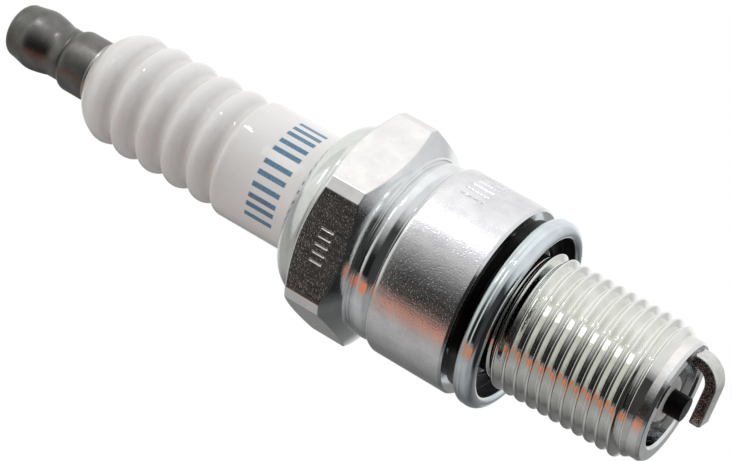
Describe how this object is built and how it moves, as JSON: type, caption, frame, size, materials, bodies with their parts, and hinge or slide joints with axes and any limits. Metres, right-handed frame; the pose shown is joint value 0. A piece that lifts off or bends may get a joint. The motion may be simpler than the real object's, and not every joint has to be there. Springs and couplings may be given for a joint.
{
  "type": "spark plug",
  "caption": "Motorcycle spark plug with a ribbed ceramic insulator, hexagon, loose gasket, threaded steel shell, J-shaped ground electrode and screw-on terminal nut.",
  "frame": {"origin": "centre of the shell's seat, the ring face that the gasket presses on", "axes": "+Z along the plug towards the terminal, +X towards the ground electrode"},
  "size_m": [0.0232, 0.0214, 0.0809],
  "materials": {
    "terminal_steel": "satin",
    "stud_steel": "satin",
    "insulator_ceramic": "gloss",
    "seal_glass": "matte",
    "resistor_carbon": "matte",
    "electrode_nickel": "satin",
    "core_copper": "satin",
    "shell_plate": "bright",
    "strap_nickel": "satin",
    "gasket_zinc": "bright",
    "packing_steel": "satin",
    "talc": "matte"
  },
  "bodies": {
    "plug": {"shell": "shell_plate", "insulator": "insulator_ceramic", "terminal_stud": "stud_steel", "upper_glass_seal": "seal_glass", "resistor": "resistor_carbon", "lower_glass_seal": "seal_glass", "centre_electrode": "electrode_nickel", "copper_core": "core_copper", "ground_electrode": "strap_nickel", "upper_packing_ring": "packing_steel", "lower_packing_ring": "packing_steel", "talc_packing": "talc", "seat_packing": "packing_steel"},
    "terminal_nut": {"terminal_nut": "terminal_steel"},
    "gasket": {"gasket": "gasket_zinc"}
  },
  "joints": [
    {"name": "terminal_nut_slide", "type": "slide", "parent": "plug", "child": "terminal_nut", "axis": [0, 0, 1], "range_m": [0, 0.01]},
    {"name": "gasket_slide", "type": "slide", "parent": "plug", "child": "gasket", "axis": [0, 0, 1], "range_m": [-0.0014, 0.00105]}
  ]
}
